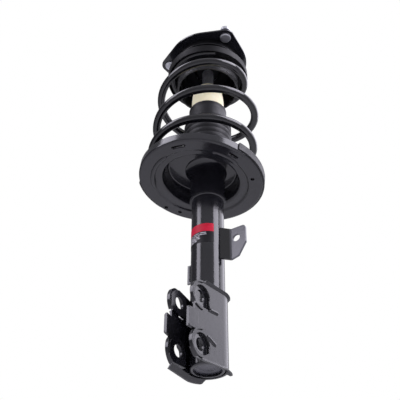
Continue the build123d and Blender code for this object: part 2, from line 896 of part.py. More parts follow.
def coil_point(turn):
    angle = radians(lower_end_angle) + 2 * pi * turn
    lean = blend(turn, lean_start, lean_end)
    radius = coil_r + (coil_top_r - coil_r) * blend(turn, draw_in_start, draw_in_end)
    x = radius * cos(angle)
    y = radius * sin(angle)
    rise = (
        coil_pitch_low * eased(turn, *lower_ease)
        + pitch_gain * eased(turn, pitch_change_start, pitch_change_end)
        - coil_pitch_high * eased(turn, upper_flat_turn - ease_turns, upper_flat_turn + ease_turns)
    )
    slope = tan(tilt) * (1 - lean) * (x * cos(uphill) + y * sin(uphill))
    return Vector(seat_x * (1 - lean) + x, seat_y * (1 - lean) + y, low_z + rise + slope)


def coil_heading(turn):
    step = 0.001
    return (coil_point(turn + step) - coil_point(turn - step)).normalized()


def biarc(start, start_way, end, end_way):
    """Two arcs that join two points and leave along both headings."""
    chord = end - start
    both = start_way + end_way
    a = 2 * (start_way.dot(end_way) - 1)
    b = -2 * chord.dot(both)
    c = chord.dot(chord)
    reach = c / (2 * chord.dot(both)) if abs(a) < 1e-9 else (-b - sqrt(b * b - 4 * a * c)) / (2 * a)
    if reach < 0:
        reach = (-b + sqrt(b * b - 4 * a * c)) / (2 * a)
    middle = (start + start_way * reach + end - end_way * reach) / 2
    TangentArc(start, middle, tangent=start_way)
    TangentArc(end, middle, tangent=end_way * -1)


with BuildPart() as coil_spring:
    with BuildLine() as coil:
        first = coil_point(0)
        first_way = coil_heading(0)
        last = coil_point(turns)
        last_way = coil_heading(turns)
        Line(first - first_way * wire_d, first)
        for quarter in range(quarter_turns):
            here = quarter / 4
            there = (quarter + 1) / 4
            biarc(coil_point(here), coil_heading(here), coil_point(there), coil_heading(there))
        Line(last, last + last_way * wire_d)
    with BuildSketch(Plane(origin=first - first_way * wire_d, z_dir=first_way)):
        Circle(wire_r)
    sweep(path=coil.wire())
save(coil_spring.part, "coil_spring")

samples = [coil_point(turns * i / spring_samples) for i in range(spring_samples + 1)]
apart = int(spring_samples / turns / 2)
least = min(
    (samples[i] - samples[j]).length
    for i in range(spring_samples + 1)
    for j in range(i + apart, spring_samples + 1)
)
print(f"least gap between the spring's turns: {least - wire_d:.2f} mm")

# ---------------------------------------------------------------- bump stop and boot
stop_top = core_bottom - stop_below_core
stop_bottom = stop_top - stop_height
boot_top = stop_top - boot_below_stop
stop_bore_r = rod_r + soft_gap
with BuildPart() as bump_stop:
    with BuildSketch(Plane.XZ):
        with BuildLine():
            Polyline(
                (stop_bore_r, stop_bottom),
                (stop_r, stop_bottom),
                (stop_r, stop_top - stop_shoulder),
                (stop_r - stop_bevel_in, stop_top - stop_bevel),
                (stop_r - stop_crown_in, stop_top - stop_crown),
                (stop_top_r, stop_top),
                (stop_bore_r, stop_top),
                close=True,
            )
        make_face()
    revolve(axis=Axis.Z)
save(bump_stop.part, "bump_stop")

boot_bottom = hub_top + boot_foot_gap
boot_body_top = boot_top - boot_neck_height
rib_pitch = (boot_body_top - boot_bottom) / boot_ribs


def boot_rings():
    """The boot's outer circles from the foot up: four to a fold, then the neck."""
    rings = []
    for rib in range(boot_ribs):
        foot = boot_bottom + rib * rib_pitch
        rings += [
            (foot, boot_root_r),
            (foot + rib_pitch * crest_from, boot_crest_r),
            (foot + rib_pitch * crest_to, boot_crest_r),
            (foot + rib_pitch * root_from, boot_root_r),
        ]
    return rings + [
        (boot_body_top, boot_root_r),
        (boot_body_top + boot_shoulder, boot_neck_r + boot_shoulder_out),
        (boot_body_top + boot_shoulder + boot_shoulder_ease, boot_neck_r),
        (boot_top - boot_bead_height - boot_bead_slope, boot_neck_r),
        (boot_top - boot_bead_height, boot_neck_r + boot_bead),
        (boot_top, boot_neck_r + boot_bead),
    ]


with BuildPart() as dust_boot:
    for z, r in boot_rings():
        with BuildSketch(Plane.XY.offset(z)):
            Circle(r)
    loft(ruled=True)
    with BuildSketch(Plane.XY.offset(boot_bottom)):
        Circle(boot_bore_r)
    extrude(amount=boot_body_top - boot_bottom, mode=Mode.SUBTRACT)
    with BuildSketch(Plane.XY.offset(boot_body_top)):
        Circle(stop_r)
    extrude(amount=boot_neck_height, mode=Mode.SUBTRACT)
save(dust_boot.part, "dust_boot")

# ---------------------------------------------------------------- knuckle bracket
wrap_r = tube_r + bracket_wall
ear_inner_x = ear_end_gap / 2
ear_outer_x = ear_inner_x + bracket_wall
ear_lean = atan2(-ear_reach, ear_outer_x) + acos(wrap_r / hypot(ear_reach, ear_outer_x))
bolt_heights = (height_up(lower_bolt_up), height_up(lower_bolt_up + bolt_spacing))
bracket_top = height_up(bracket_rise)
edge_z = height_up(-bracket_drop)
edge_slope = tan(radians(bracket_slope))
bracket_low = edge_z - ear_reach * edge_slope - lip_fall
bracket_span = bracket_top - bracket_low + 2 * spare
tab_bottom = height_up(tab_up)
lower_press = (bolt_heights[0], bolt_heights[0] - lower_pocket_foot)
upper_press = (bolt_heights[1], bolt_heights[1] - upper_pocket_foot)


def ear_x(radius, reach):
    """How far from the middle a side stands that runs tangent to a circle round the tube."""
    return (radius + reach * sin(ear_lean)) / cos(ear_lean)


def fold_outline(radius, reach):
    """A circle round the tube that runs into two straight sides towards -Y."""
    touch_x = radius * cos(ear_lean)
    touch_y = radius * sin(ear_lean)
    end_x = ear_x(radius, reach)
    with BuildSketch(mode=Mode.PRIVATE) as fold:
        with BuildLine():
            Polyline((-touch_x, touch_y), (-end_x, -reach), (end_x, -reach), (touch_x, touch_y))
            ThreePointArc((touch_x, touch_y), (0, radius), (-touch_x, touch_y))
        make_face()
    return fold.sketch


def flare(radius, plane, wider_r, wider_plane, reach):
    """The fold's outline, widened from one plane to the next."""
    with BuildPart(mode=Mode.PRIVATE) as skirt:
        with BuildSketch(plane):
            add(fold_outline(radius, reach))
        with BuildSketch(wider_plane):
            add(fold_outline(wider_r, reach))
        loft(ruled=True)
        split(bisect_by=Plane.XZ.offset(-lip_end), keep=Keep.TOP)
    return skirt.part


def press_outline(radius, middle, foot):
    """A round pressing over a bolt hole that runs straight down to its foot."""
    with BuildSketch(mode=Mode.PRIVATE) as press:
        with Locations((-ear_bolt_reach, middle)):
            Circle(radius)
        with Locations((-ear_bolt_reach, (middle + foot) / 2)):
            Rectangle(2 * radius, middle - foot)
    return press.sketch


edge_plane = Plane(origin=(0, 0, edge_z), x_dir=(1, 0, 0), z_dir=(0, -edge_slope, 1))
lip_plane = edge_plane.offset(-lip_fall)
root_plane = edge_plane.offset(lip_root)
lip_r = wrap_r + lip_width
lower_lip = flare(wrap_r - lip_sink, root_plane, lip_r, lip_plane, lower_lip_reach)
lower_hollow = flare(tube_r - lip_sink, root_plane, lip_r - lip_thick, lip_plane, ear_reach + spare)
upper_lip = flare(
    wrap_r - lip_sink,
    Plane.XY.offset(bracket_top - upper_lip_rise),
    wrap_r + upper_lip_width,
    Plane.XY.offset(bracket_top),
    upper_lip_reach,
)

# The space inside the fold, less the bosses that are pressed into it
with BuildPart() as fold_space:
    with BuildSketch(Plane.XY.offset(bracket_low - spare)):
        add(fold_outline(tube_r, ear_reach + spare))
    extrude(amount=bracket_span)
    for side_x in (-1, 1):
        for middle, foot in ((lower_press[0], bracket_low - spare), upper_press):
            with BuildSketch(Plane.YZ.offset(side_x * ear_inner_x)):
                add(press_outline(pocket_r + boss_wall, middle, foot))
            extrude(amount=side_x * wrap_r, mode=Mode.SUBTRACT)

with BuildPart() as knuckle_bracket:
    with BuildSketch(Plane.XY.offset(bracket_low)):
        add(fold_outline(wrap_r, ear_reach))
    extrude(amount=bracket_top - bracket_low)
    for side_x in (-1, 1):
        face = Plane(
            origin=(side_x * wrap_r * cos(ear_lean), wrap_r * sin(ear_lean), 0),
            x_dir=(-side_x * sin(ear_lean), cos(ear_lean), 0),
            z_dir=(side_x * cos(ear_lean), sin(ear_lean), 0),
        )
        # a raised rim round the free half of each lobe
        for height in bolt_heights:
            centre = face.to_local_coords(Vector(side_x * ear_x(wrap_r, ear_bolt_reach), -ear_bolt_reach, height))
            with BuildSketch(face):
                with Locations((centre.X, centre.Y)):
                    Circle(ear_lobe_r + spare)
                    Circle(ear_lobe_r - rim_width, mode=Mode.SUBTRACT)
                with Locations((centre.X + ear_lobe_r, centre.Y)):
                    Rectangle(2 * ear_lobe_r, 3 * ear_lobe_r, mode=Mode.SUBTRACT)
            extrude(amount=rim_raise)
        # the side tab stands out by a step
        tab_middle = (ear_reach + tab_inner_reach) / 2
        step_middle = face.to_local_coords(
            Vector(side_x * ear_x(wrap_r, tab_middle), -tab_middle, tab_bottom + tab_height / 2)
        )
        with BuildSketch(face):
            with Locations((step_middle.X, step_middle.Y)):
                RectangleRounded((ear_reach - tab_inner_reach) / cos(ear_lean), tab_height, step_round)
        extrude(amount=step_raise)
        # short pressed ribs beside the pockets
        for from_reach, from_up, to_reach, to_up in ear_ribs:
            rib_start = Vector(side_x * (ear_x(wrap_r, from_reach) - rib_sink), -from_reach, height_up(from_up))
            rib_end = Vector(side_x * (ear_x(wrap_r, to_reach) - rib_sink), -to_reach, height_up(to_up))
            with BuildSketch(Plane(origin=rib_start, z_dir=rib_end - rib_start)):
                Circle(rib_d / 2)
            extrude(amount=(rib_end - rib_start).length)
            with Locations(rib_start, rib_end):
                Sphere(rib_d / 2)
    # its outline seen along the bolts: two lobes, a waist, the tabs and the back round the tube
    with BuildSketch(Plane.YZ):
        with BuildLine():
            Polyline(
                (2 * wrap_r, bracket_low),
                (-ear_bolt_reach, bracket_low),
                (-ear_bolt_reach, bolt_heights[1] + ear_lobe_r),
                (-tube_r, bracket_top),
                (2 * wrap_r, bracket_top),
                close=True,
            )
        make_face()
        for height in bolt_heights:
            with Locations((-ear_bolt_reach, height)):
                Circle(ear_lobe_r)
        with Locations((-(ear_waist_reach + ear_bolt_reach) / 2, sum(bolt_heights) / 2)):
            Rectangle(ear_waist_reach - ear_bolt_reach, bolt_spacing - ear_lobe_r)
        with Locations((-ear_reach, tab_bottom)):
            Rectangle(ear_reach - ear_bolt_reach, tab_height, align=(Align.MIN, Align.MIN))
        with BuildLine():
            Polyline(
                (2 * wrap_r, edge_z + 2 * wrap_r * edge_slope),
                (-ear_reach, edge_z - ear_reach * edge_slope),
                (-ear_reach, bracket_low - ear_lobe_r),
                (2 * wrap_r, bracket_low - ear_lobe_r),
                close=True,
            )
        make_face(mode=Mode.SUBTRACT)
    extrude(amount=2 * wrap_r, both=True, mode=Mode.INTERSECT)
    # lips along both edges, the hollow fold, the pockets and the bolt holes
    add(lower_lip)
    add(upper_lip)
    add(fold_space.part, mode=Mode.SUBTRACT)
    add(lower_hollow, mode=Mode.SUBTRACT)
    for side_x in (-1, 1):
        for middle, foot in (lower_press, upper_press):
            with BuildSketch(Plane.YZ.offset(side_x * ear_outer_x)):
                add(press_outline(pocket_r, middle, foot))
            extrude(amount=side_x * 2 * wrap_r, mode=Mode.SUBTRACT)
    for height in bolt_heights:
        with Locations(Location((0, -ear_bolt_reach, height), (0, 90, 0))):
            Cylinder(bolt_hole_d / 2, 4 * wrap_r, mode=Mode.SUBTRACT)
save(knuckle_bracket.part, "knuckle_bracket")

# ---------------------------------------------------------------- small brackets, label
link_bottom = height_up(link_bottom_up)
foot_r = tube_r - link_wall / 2
foot_x = foot_r * cos(radians(link_foot_angle))
foot_y = foot_r * sin(radians(link_foot_angle))
with BuildPart() as link_bracket:
    with BuildSketch(Plane.XY.offset(link_bottom)):
        with BuildLine() as strap:
            Polyline((foot_x, foot_y), (link_bend_x, link_plate_y), (link_plate_x, link_plate_y))
            fillet(strap.vertices().sort_by(Axis.X)[1], link_bend_r)
            offset(amount=link_wall, side=Side.RIGHT)
        make_face()
        Circle(tube_r, mode=Mode.SUBTRACT)
    extrude(amount=link_height)
    # the outer plate: lower corner cut off, upper corner rounded, hole for the link
    plate_section = Plane(origin=(0, link_plate_y, 0), x_dir=(1, 0, 0), z_dir=(0, -1, 0))
    with BuildSketch(plate_section):
        with BuildLine():
            Polyline(
                (link_plate_x + spare, link_bottom - spare),
                (link_plate_x + spare, link_bottom + link_cut_up),
                (link_plate_x, link_bottom + link_cut_up),
                (link_plate_x - link_cut_in, link_bottom + link_wall),
                (link_bend_x - link_bend_r, link_bottom - spare),
                close=True,
            )
        make_face()
    extrude(amount=4 * link_wall, both=True, mode=Mode.SUBTRACT)
    upper_corner = link_bracket.edges().filter_by(Axis.Y).group_by(Axis.X)[-1].sort_by(Axis.Z)[-1]
    fillet(upper_corner, link_corner_r)
    with BuildSketch(plate_section):
        with Locations((link_hole_x, height_up(link_hole_up))):
            Circle(link_hole_d / 2)
    extrude(amount=4 * link_wall, both=True, mode=Mode.SUBTRACT)
save(link_bracket.part, "link_bracket")

hose_bottom = height_up(hose_bottom_up)
with BuildPart() as hose_tab:
    with BuildSketch(Plane.XY.offset(hose_bottom)):
        with Locations((-(tube_r + hose_reach) / 2, hose_y)):
            Rectangle(tube_r + hose_reach, hose_wall)
        Circle(tube_r, mode=Mode.SUBTRACT)
    extrude(amount=hose_height)
save(hose_tab.part, "hose_tab")

with BuildPart() as label:
    with BuildSketch(Plane.XZ.rotated((0, 0, label_from))):
        with Locations((tube_r + label_lift, height_up(label_bottom_up))):
            Rectangle(label_thick, label_height, align=(Align.MIN, Align.MIN))
    revolve(axis=Axis.Z, revolution_arc=label_to - label_from)
save(label.part, "label")
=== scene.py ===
import bpy
import bmesh
import json
from math import cos, pi, radians, sin, sqrt, tan
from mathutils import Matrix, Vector


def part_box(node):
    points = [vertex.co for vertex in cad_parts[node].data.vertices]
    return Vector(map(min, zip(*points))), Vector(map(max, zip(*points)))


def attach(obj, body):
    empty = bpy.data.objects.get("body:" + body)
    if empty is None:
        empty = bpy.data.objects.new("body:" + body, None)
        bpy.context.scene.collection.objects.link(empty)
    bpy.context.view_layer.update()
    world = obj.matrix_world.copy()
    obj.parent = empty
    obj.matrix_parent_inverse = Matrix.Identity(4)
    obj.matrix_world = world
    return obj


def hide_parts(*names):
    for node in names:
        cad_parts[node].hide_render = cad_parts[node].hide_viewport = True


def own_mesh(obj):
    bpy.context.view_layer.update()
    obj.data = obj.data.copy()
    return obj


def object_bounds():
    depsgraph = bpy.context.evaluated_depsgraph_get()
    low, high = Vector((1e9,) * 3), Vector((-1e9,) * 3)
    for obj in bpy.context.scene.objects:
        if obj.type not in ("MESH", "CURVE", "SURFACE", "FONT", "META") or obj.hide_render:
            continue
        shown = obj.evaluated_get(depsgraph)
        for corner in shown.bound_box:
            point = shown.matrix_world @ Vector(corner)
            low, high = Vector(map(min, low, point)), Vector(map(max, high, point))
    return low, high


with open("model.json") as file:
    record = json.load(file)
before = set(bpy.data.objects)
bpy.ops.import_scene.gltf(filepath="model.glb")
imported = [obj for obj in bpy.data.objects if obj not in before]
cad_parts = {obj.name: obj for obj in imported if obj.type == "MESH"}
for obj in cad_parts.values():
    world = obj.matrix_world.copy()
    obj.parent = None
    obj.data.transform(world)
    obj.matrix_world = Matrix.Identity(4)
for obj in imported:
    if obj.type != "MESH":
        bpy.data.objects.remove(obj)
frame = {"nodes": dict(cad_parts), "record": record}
nodes = frame["nodes"]
record = frame["record"]
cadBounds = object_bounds()
mm = 0.001    # the frame is in metres, the sizes below are in millimetres
zAxis = Vector((0, 0, 1))
sameSpot = 1e-6    # points closer than this are one point
print("frame loaded:", len(nodes), "nodes")


# helpers that every piece and finish shares
def hexColor(text):
    channels = [int(text[i:i + 2], 16) / 255 for i in (1, 3, 5)]
    linear = [c / 12.92 if c <= 0.04045 else ((c + 0.055) / 1.055) ** 2.4 for c in channels]
    return (*linear, 1.0)


def addNode(tree, kind, settings=None, values=None, links=None, stops=()):
    node = tree.nodes.new(kind)
    for name, value in (settings or {}).items():
        setattr(node, name, value)
    for name, value in (values or {}).items():
        node.inputs[name].default_value = value
    for name, source in (links or {}).items():
        tree.links.new(source, node.inputs[name])
    if stops:    # the two stops of a colour ramp, as place and colour
        for element, (place, color) in zip(node.color_ramp.elements, stops):
            element.position = place
            element.color = hexColor(color)
    return node


def startMaterial(name):
    material = bpy.data.materials.new(name)
    material.use_nodes = True
    tree = material.node_tree
    tree.nodes.clear()
    coords = addNode(tree, "ShaderNodeTexCoord").outputs["Object"]
    return material, tree, coords


def finishMaterial(material, shader):
    addNode(material.node_tree, "ShaderNodeOutputMaterial", links={"Surface": shader.outputs[0]})
    return material


def meshFrom(bm, name, sharpAngle=None):
    bmesh.ops.remove_doubles(bm, verts=bm.verts, dist=sameSpot)
    bmesh.ops.recalc_face_normals(bm, faces=bm.faces)
    mesh = bpy.data.meshes.new(name)
    bm.to_mesh(mesh)
    bm.free()
    mesh.shade_smooth()
    if sharpAngle:
        mesh.set_sharp_from_angle(angle=radians(sharpAngle))
    return mesh


def newPiece(name, bm, material, body, sharpAngle=None):
    piece = bpy.data.objects.new(name, meshFrom(bm, name, sharpAngle))
    bpy.context.scene.collection.objects.link(piece)
    piece.data.materials.append(material)
    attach(piece, body)
    return piece


def spinProfile(points, steps):
    # a closed outline in the XZ plane, turned once round the strut's axis
    bm = bmesh.new()
    verts = [bm.verts.new((r, 0, z)) for r, z in points]
    for pair in zip(verts, verts[1:] + verts[:1]):
        bm.edges.new(pair)
    bmesh.ops.spin(bm, geom=list(bm.verts) + list(bm.edges), cent=(0, 0, 0), axis=zAxis, dvec=(0, 0, 0),
                   angle=2 * pi, steps=steps, use_merge=True, use_duplicate=False)
    return bm


def sweptTube(name, path, radius, rings, sizes=None, closed=False):
    # a round tube along a path, with capped ends where it isn't closed
    curve = bpy.data.curves.new(name, "CURVE")
    curve.dimensions = "3D"
    curve.bevel_depth = radius
    curve.bevel_resolution = rings
    curve.use_fill_caps = True
    line = curve.splines.new("POLY")
    line.points.add(len(path) - 1)
    line.use_cyclic_u = closed
    for point, place, size in zip(line.points, path, sizes or [1.0] * len(path)):
        point.co = (*place, 1)
        point.radius = size
    holder = bpy.data.objects.new(name, curve)
    bm = bmesh.new()
    bm.from_mesh(bpy.data.meshes.new_from_object(holder))
    bpy.data.objects.remove(holder)
    return bm


def halfWidth(nodeName):
    low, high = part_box(nodeName)
    return (high[0] - low[0]) / 2


# camera
view = {"place": (0.4853, -0.7473, -1.027), "ahead": (-0.429, 0.661, 0.616), "lens": 63.27,
        "shift": -0.01975, "sensor": 36, "farEnd": 20}


def makeCamera():
    data = bpy.data.cameras.new("camera")
    data.lens = view["lens"]
    data.sensor_width = view["sensor"]
    data.shift_x = view["shift"]
    data.clip_end = view["farEnd"]
    camera = bpy.data.objects.new("camera", data)
    bpy.context.scene.collection.objects.link(camera)
    camera.location = view["place"]
    camera.rotation_euler = Vector(view["ahead"]).to_track_quat("-Z", "Y").to_euler()
    bpy.context.scene.camera = camera


# studio: a white surround, a strip on the left, a broad box on the right and another behind
studio = {
    "surround": "#FFFFFF", "floorDrop": 1.35, "floorSize": 30, "aimHeight": -0.32, "lightColor": "#F3F0FE",
    # what the surround lights the object with, dim towards -X and brighter towards +X
    "fillColor": "#F4F3FA", "fillFrom": -0.9, "fillTo": 0.1, "fillDim": 0.12, "fillFull": 0.75,
    "lights": {
        "stripLeft": {"bearing": -122, "rise": 38, "distance": 2.4, "size": (1.0, 2.6), "radiance": 5.0},
        "boxRight": {"bearing": 4, "rise": 38, "distance": 2.4, "size": (1.4, 2.6), "radiance": 6.2},
        "boxBack": {"bearing": 62, "rise": 40, "distance": 3.0, "size": (2.6, 2.6), "radiance": 2.2},
    },
}


def makeSurround():
    world = bpy.data.worlds.new("studio")
    bpy.context.scene.world = world
    world.use_nodes = True
    tree = world.node_tree
    tree.nodes.clear()
    rays = addNode(tree, "ShaderNodeLightPath")
    seen = addNode(tree, "ShaderNodeBackground",
                   values={"Color": hexColor(studio["surround"]), "Strength": 1.0})
    direction = addNode(tree, "ShaderNodeTexCoord").outputs["Generated"]
    split = addNode(tree, "ShaderNodeSeparateXYZ", links={"Vector": direction})
    side = addNode(tree, "ShaderNodeMapRange", links={"Value": split.outputs["X"]},
                   values={"From Min": studio["fillFrom"], "From Max": studio["fillTo"],
                           "To Min": studio["fillDim"], "To Max": studio["fillFull"]})
    fill = addNode(tree, "ShaderNodeBackground", values={"Color": hexColor(studio["fillColor"])},
                   links={"Strength": side.outputs["Result"]})
    mix = addNode(tree, "ShaderNodeMixShader",
                  links={0: rays.outputs["Is Camera Ray"], 1: fill.outputs[0], 2: seen.outputs[0]})
    addNode(tree, "ShaderNodeOutputWorld", links={"Surface": mix.outputs[0]})


def makeLights():
    aim = Vector((0, 0, studio["aimHeight"]))
    for name, light in studio["lights"].items():
        bearing, rise = radians(light["bearing"]), radians(light["rise"])
        width, height = light["size"]
        data = bpy.data.lights.new(name, "AREA")
        data.shape = "RECTANGLE"
        data.size = width
        data.size_y = height
        data.energy = light["radiance"] * pi * width * height
        data.color = hexColor(studio["lightColor"])[:3]
        lamp = bpy.data.objects.new(name, data)
        bpy.context.scene.collection.objects.link(lamp)
        outward = Vector((cos(bearing) * cos(rise), sin(bearing) * cos(rise), sin(rise)))
        lamp.location = aim + outward * light["distance"]
        lamp.rotation_euler = outward.to_track_quat("Z", "Y").to_euler()
        lamp.visible_camera = False


def makeFloor():
    bm = bmesh.new()
    bmesh.ops.create_grid(bm, x_segments=1, y_segments=1, size=studio["floorSize"])
    bmesh.ops.translate(bm, verts=bm.verts, vec=(0, 0, cadBounds[0][2] - studio["floorDrop"]))
    floor = bpy.data.objects.new("floor", meshFrom(bm, "floor"))
    bpy.context.scene.collection.objects.link(floor)
    floor.data.materials.append(mattFloorPaint())


# how far a noise texture's values really reach, for ramps and ranges that read one
noiseSpan = (0.3, 0.7)
noiseRange = {"From Min": noiseSpan[0], "From Max": noiseSpan[1]}


def mattFloorPaint():
    # matt white studio paint: even, without gloss
    material, tree, coords = startMaterial("mattPaintFloor")
    grain = addNode(tree, "ShaderNodeTexNoise", values={"Scale": 40.0, "Detail": 3.0},
                    links={"Vector": coords})
    tone = addNode(tree, "ShaderNodeValToRGB", links={"Fac": grain.outputs["Fac"]},
                   stops=zip(noiseSpan, ("#F2F2F3", "#F7F7F8")))
    shader = addNode(tree, "ShaderNodeBsdfPrincipled", values={"Roughness": 0.9},
                     links={"Base Color": tone.outputs["Color"]})
    return finishMaterial(material, shader)


# black coat on pressed steel: a dipped or sprayed film, baked, so it is glossy with a faint orange peel
# a few millimetres across, and it rounds off every edge; the grit under it is drawn a little coarse
coatFilm = {"peelSize": 7.0, "peelRelief": 0.25, "gritSize": 1.6, "gritRelief": 0.12, "patchSize": 45.0,
            "sheen": (0.8, 1.3)}


def steelCoat(name, colors, rough, peel, grit=0.02, edge=0.7, shine=0.5):
    material, tree, coords = startMaterial(name)
    wave = addNode(tree, "ShaderNodeTexNoise", links={"Vector": coords},
                   values={"Scale": 1 / (coatFilm["peelSize"] * mm), "Detail": 2.0, "Roughness": 0.45})
    fine = addNode(tree, "ShaderNodeTexNoise", links={"Vector": coords},
                   values={"Scale": 1 / (coatFilm["gritSize"] * mm), "Detail": 3.0, "Roughness": 0.6})
    patch = addNode(tree, "ShaderNodeTexNoise", links={"Vector": coords},
                    values={"Scale": 1 / (coatFilm["patchSize"] * mm), "Detail": 4.0, "Roughness": 0.6})
    tone = addNode(tree, "ShaderNodeValToRGB", links={"Fac": patch.outputs["Fac"]},
                   stops=zip(noiseSpan, colors))
    sheen = addNode(tree, "ShaderNodeMapRange", links={"Value": patch.outputs["Fac"]},
                    values={**noiseRange, "To Min": rough * coatFilm["sheen"][0],
                            "To Max": rough * coatFilm["sheen"][1]})
    rounded = addNode(tree, "ShaderNodeBevel", settings={"samples": 4}, values={"Radius": edge * mm})
    low = addNode(tree, "ShaderNodeBump",
                  values={"Strength": peel, "Distance": coatFilm["peelRelief"] * mm},
                  links={"Height": wave.outputs["Fac"], "Normal": rounded.outputs["Normal"]})
    high = addNode(tree, "ShaderNodeBump",
                   values={"Strength": grit, "Distance": coatFilm["gritRelief"] * mm},
                   links={"Height": fine.outputs["Fac"], "Normal": low.outputs["Normal"]})
    shader = addNode(tree, "ShaderNodeBsdfPrincipled", values={"IOR": 1.5, "Specular IOR Level": shine},
                     links={"Base Color": tone.outputs["Color"], "Roughness": sheen.outputs["Result"],
                            "Normal": high.outputs["Normal"]})
    return finishMaterial(material, shader)


# coat over shot-blasted plate: coarse and greyer on the bracket's outer plate; on the web it is smooth, and
# its near-black colour is painted shade, darker than the coat on the plate
plateCoat = {"webEnd": 36.0, "plateStart": 39.0, "webShade": ("#08080A", "#0D0D10"),
             "plate": ("#2B2B31", "#67676F"), "plateStops": (0.35, 0.65), "rough": (0.14, 0.32),
             "grain": 1.1, "relief": 0.12, "edge": 0.6}


def blastedPlateShadedWeb():
    material, tree, coords = startMaterial("coarseElectrocoat")
    change = {"From Min": plateCoat["webEnd"] * mm, "From Max": plateCoat["plateStart"] * mm}
    split = addNode(tree, "ShaderNodeSeparateXYZ", links={"Vector": coords})
    outer = addNode(tree, "ShaderNodeMapRange", values=change, links={"Value": split.outputs["X"]})
    grains = addNode(tree, "ShaderNodeTexNoise", links={"Vector": coords},
                     values={"Scale": 1 / (plateCoat["grain"] * mm), "Detail": 4.0, "Roughness": 0.7})
    blasted = addNode(tree, "ShaderNodeValToRGB", links={"Fac": grains.outputs["Fac"]},
                      stops=zip(plateCoat["plateStops"], plateCoat["plate"]))
    # painted shade: the web is coloured near-black, darker than the same coat on the outer plate
    webShadeTone = addNode(tree, "ShaderNodeValToRGB", links={"Fac": grains.outputs["Fac"]},
                     stops=zip(noiseSpan, plateCoat["webShade"]))
    # the mix node's colour sockets are its inputs 6 and 7, and its output 2
    tone = addNode(tree, "ShaderNodeMix", settings={"data_type": "RGBA"},
                   links={0: outer.outputs["Result"], 6: webShadeTone.outputs["Color"],
                          7: blasted.outputs["Color"]})
    gloss = addNode(tree, "ShaderNodeMapRange", links={"Value": split.outputs["X"]},
                    values={**change, "To Min": plateCoat["rough"][0], "To Max": plateCoat["rough"][1]})
    rounded = addNode(tree, "ShaderNodeBevel", settings={"samples": 4},
                      values={"Radius": plateCoat["edge"] * mm})
    bump = addNode(tree, "ShaderNodeBump", values={"Strength": 0.35, "Distance": plateCoat["relief"] * mm},
                   links={"Height": grains.outputs["Fac"], "Normal": rounded.outputs["Normal"]})
    shader = addNode(tree, "ShaderNodeBsdfPrincipled", values={"IOR": 1.5},
                     links={"Base Color": tone.outputs[2], "Roughness": gloss.outputs["Result"],
                            "Normal": bump.outputs["Normal"]})
    return finishMaterial(material, shader)


# bare or plated steel: metallic, with a grain left by its last machining or plating, and cloudy tarnish
metalSkin = {"cloudSize": 12.0, "relief": 0.1, "edge": 0.3, "sheen": (0.75, 1.35)}


def brightMetal(name, colors, rough, grainSize, strength, stretch=(1, 1, 1), metal=1.0):
    material, tree, coords = startMaterial(name)
    placed = addNode(tree, "ShaderNodeMapping", values={"Scale": stretch}, links={"Vector": coords})
    grain = addNode(tree, "ShaderNodeTexNoise", links={"Vector": placed.outputs["Vector"]},
                    values={"Scale": 1 / (grainSize * mm), "Detail": 4.0, "Roughness": 0.6})
    cloud = addNode(tree, "ShaderNodeTexNoise", links={"Vector": coords},
                    values={"Scale": 1 / (metalSkin["cloudSize"] * mm), "Detail": 3.0})
    tone = addNode(tree, "ShaderNodeValToRGB", links={"Fac": cloud.outputs["Fac"]},
                   stops=zip(noiseSpan, colors))
    sheen = addNode(tree, "ShaderNodeMapRange", links={"Value": grain.outputs["Fac"]},
                    values={**noiseRange, "To Min": rough * metalSkin["sheen"][0],
                            "To Max": rough * metalSkin["sheen"][1]})
    rounded = addNode(tree, "ShaderNodeBevel", settings={"samples": 4},
                      values={"Radius": metalSkin["edge"] * mm})
    bump = addNode(tree, "ShaderNodeBump",
                   values={"Strength": strength, "Distance": metalSkin["relief"] * mm},
                   links={"Height": grain.outputs["Fac"], "Normal": rounded.outputs["Normal"]})
    shader = addNode(tree, "ShaderNodeBsdfPrincipled", values={"Metallic": metal},
                     links={"Base Color": tone.outputs["Color"], "Roughness": sheen.outputs["Result"],
                            "Normal": bump.outputs["Normal"]})
    return finishMaterial(material, shader)


# moulded rubber: black with a bloom of grey, matt where the mould was, with a fine mould texture
rubberSkin = {"bloomSize": 14.0, "relief": 0.15, "sheen": (0.85, 1.15)}


def mouldedRubber(name, colors, rough, grainSize, strength, shine=0.5):
    material, tree, coords = startMaterial(name)
    bloom = addNode(tree, "ShaderNodeTexNoise", links={"Vector": coords},
                    values={"Scale": 1 / (rubberSkin["bloomSize"] * mm), "Detail": 5.0, "Roughness": 0.65})
    grain = addNode(tree, "ShaderNodeTexNoise", links={"Vector": coords},
                    values={"Scale": 1 / (grainSize * mm), "Detail": 3.0})
    tone = addNode(tree, "ShaderNodeValToRGB", links={"Fac": bloom.outputs["Fac"]},
                   stops=zip(noiseSpan, colors))
    sheen = addNode(tree, "ShaderNodeMapRange", links={"Value": bloom.outputs["Fac"]},
                    values={**noiseRange, "To Min": rough * rubberSkin["sheen"][0],
                            "To Max": rough * rubberSkin["sheen"][1]})
    bump = addNode(tree, "ShaderNodeBump",
                   values={"Strength": strength, "Distance": rubberSkin["relief"] * mm},
                   links={"Height": grain.outputs["Fac"]})
    shader = addNode(tree, "ShaderNodeBsdfPrincipled", values={"IOR": 1.5, "Specular IOR Level": shine},
                     links={"Base Color": tone.outputs["Color"], "Roughness": sheen.outputs["Result"],
                            "Normal": bump.outputs["Normal"]})
    return finishMaterial(material, shader)


# cellular polyurethane: cream and matt, its cells under a millimetre but drawn a little larger to show
foamSkin = {"colors": ("#EFE6BE", "#F8F2D6"), "cellSize": 1.3, "cloudSize": 18.0, "relief": 0.2,
            "rough": 0.72, "scatter": 3.0}


